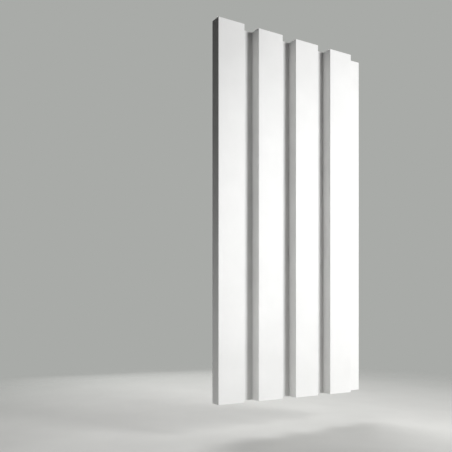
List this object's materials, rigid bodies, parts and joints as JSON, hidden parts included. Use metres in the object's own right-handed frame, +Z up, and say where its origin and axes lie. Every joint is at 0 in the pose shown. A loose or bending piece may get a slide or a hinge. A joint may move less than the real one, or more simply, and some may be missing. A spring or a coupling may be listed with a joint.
{
  "type": "vertical radiator with valve",
  "caption": "Tall white wall radiator of raised vertical boxes and recessed strips, with a concealed thermostatic valve and lockshield behind the panel.",
  "frame": {"origin": "centre of the rectangle of wall fixing holes, on the wall plane behind the panel", "axes": "+X to the right seen from the room, +Y into the wall, +Z up"},
  "size_m": [0.93, 0.11, 1.8],
  "materials": {
    "white_powder_coat": "white satin powder coat on extruded aluminium",
    "rail_aluminium": "extruded, natural",
    "zinc_plated_steel": "bright zinc plate",
    "nickel_plated_brass": "satin nickel plate",
    "bare_brass": "turned",
    "seal_rubber": "matte",
    "stainless_steel": "drawn wire and turned rod",
    "white_plastic": "moulded, fine satin",
    "grey_plastic": "moulded"
  },
  "bodies": {
    "radiator": {"profile_1": "white_powder_coat", "profile_2": "white_powder_coat", "profile_3": "white_powder_coat", "profile_4": "white_powder_coat", "top_cover_1": "white_powder_coat", "top_cover_2": "white_powder_coat", "top_cover_3": "white_powder_coat", "top_cover_4": "white_powder_coat", "cover_screws": "zinc_plated_steel", "channel_plugs": "white_powder_coat", "riser_nipples": "white_powder_coat", "top_header": "white_powder_coat", "bottom_header": "white_powder_coat", "header_bushes": "white_powder_coat", "header_end_discs": "white_powder_coat", "flow_divider": "white_powder_coat", "valve_bosses": "white_powder_coat", "upper_rail": "rail_aluminium", "lower_rail": "rail_aluminium", "rail_screws": "zinc_plated_steel", "blind_plug": "nickel_plated_brass", "vent_plug": "nickel_plated_brass", "plug_seals": "seal_rubber", "tailpieces": "nickel_plated_brass", "tailpiece_seals": "seal_rubber", "union_nuts": "nickel_plated_brass", "compression_nuts": "nickel_plated_brass", "olives": "bare_brass", "spindle_seals": "seal_rubber", "thermostatic_valve_body": "nickel_plated_brass", "valve_insert": "bare_brass", "head_collar": "nickel_plated_brass", "head_base": "white_plastic", "lockshield_body": "nickel_plated_brass", "lockshield_bonnet": "bare_brass", "bracket_upper_left": "zinc_plated_steel", "bracket_upper_right": "zinc_plated_steel", "bracket_lower_left": "zinc_plated_steel", "bracket_lower_right": "zinc_plated_steel", "hook_pads": "grey_plastic", "latch_pins": "zinc_plated_steel"},
    "grip": {"head_grip": "white_plastic"},
    "sensor": {"head_sensor": "stainless_steel", "sensor_carrier": "white_plastic", "head_spring": "stainless_steel"},
    "spindle": {"valve_spindle": "stainless_steel", "valve_disc": "seal_rubber", "valve_spring": "stainless_steel"},
    "stem": {"lockshield_stem": "bare_brass"},
    "cone": {"lockshield_cone": "bare_brass"},
    "cap": {"lockshield_cap": "white_plastic"},
    "nozzle": {"vent_nozzle": "white_plastic"},
    "bleed_screw": {"vent_screw": "nickel_plated_brass"},
    "latch_upper_left_arm": {"latch_upper_left": "zinc_plated_steel"},
    "latch_upper_right_arm": {"latch_upper_right": "zinc_plated_steel"},
    "latch_lower_left_arm": {"latch_lower_left": "zinc_plated_steel"},
    "latch_lower_right_arm": {"latch_lower_right": "zinc_plated_steel"}
  },
  "joints": [
    {"name": "grip_turn", "type": "hinge", "parent": "radiator", "child": "grip", "pos_m": [0.34625, -0.0355, -0.894], "axis": [0, 0, 1], "range_deg": [-150, 150]},
    {"name": "sensor_slide", "type": "slide", "parent": "radiator", "child": "sensor", "axis": [0, 0, 1], "range_m": [-0.001, 0.001]},
    {"name": "spindle_slide", "type": "slide", "parent": "radiator", "child": "spindle", "axis": [0, 0, 1], "range_m": [-0.001, 0.001], "deforming": ["valve_spring"]},
    {"name": "stem_turn", "type": "hinge", "parent": "radiator", "child": "stem", "pos_m": [-0.32875, -0.0355, -0.864], "axis": [0, 0, 1], "range_deg": [0, 720]},
    {"name": "cone_slide", "type": "slide", "parent": "radiator", "child": "cone", "axis": [0, 0, 1], "range_m": [0, 0.003]},
    {"name": "cap_pull", "type": "slide", "parent": "radiator", "child": "cap", "axis": [0, 0, -1], "range_m": [0, 0.035]},
    {"name": "nozzle_swivel", "type": "hinge", "parent": "radiator", "child": "nozzle", "pos_m": [0.483, -0.0355, 0.79], "axis": [1, 0, 0], "continuous": true},
    {"name": "bleed_turn", "type": "hinge", "parent": "radiator", "child": "bleed_screw", "pos_m": [0.483, -0.0355, 0.79], "axis": [1, 0, 0], "range_deg": [0, 360]},
    {"name": "latch_upper_left_turn", "type": "hinge", "parent": "radiator", "child": "latch_upper_left_arm", "pos_m": [-0.225, -0.024, 0.542], "axis": [0, 0, 1], "range_deg": [0, 90]},
    {"name": "latch_upper_right_turn", "type": "hinge", "parent": "radiator", "child": "latch_upper_right_arm", "pos_m": [0.225, -0.024, 0.542], "axis": [0, 0, 1], "range_deg": [0, 90]},
    {"name": "latch_lower_left_turn", "type": "hinge", "parent": "radiator", "child": "latch_lower_left_arm", "pos_m": [-0.225, -0.024, -0.558], "axis": [0, 0, 1], "range_deg": [0, 90]},
    {"name": "latch_lower_right_turn", "type": "hinge", "parent": "radiator", "child": "latch_lower_right_arm", "pos_m": [0.225, -0.024, -0.558], "axis": [0, 0, 1], "range_deg": [0, 90]}
  ],
  "couplings": [
    {"joint": "sensor_slide", "follows": "grip_turn", "m_per_rad": 0.00038197},
    {"joint": "spindle_slide", "follows": "grip_turn", "m_per_rad": 0.00038197},
    {"joint": "stem_turn", "follows": "cone_slide", "rad_per_m": 4188.8}
  ]
}
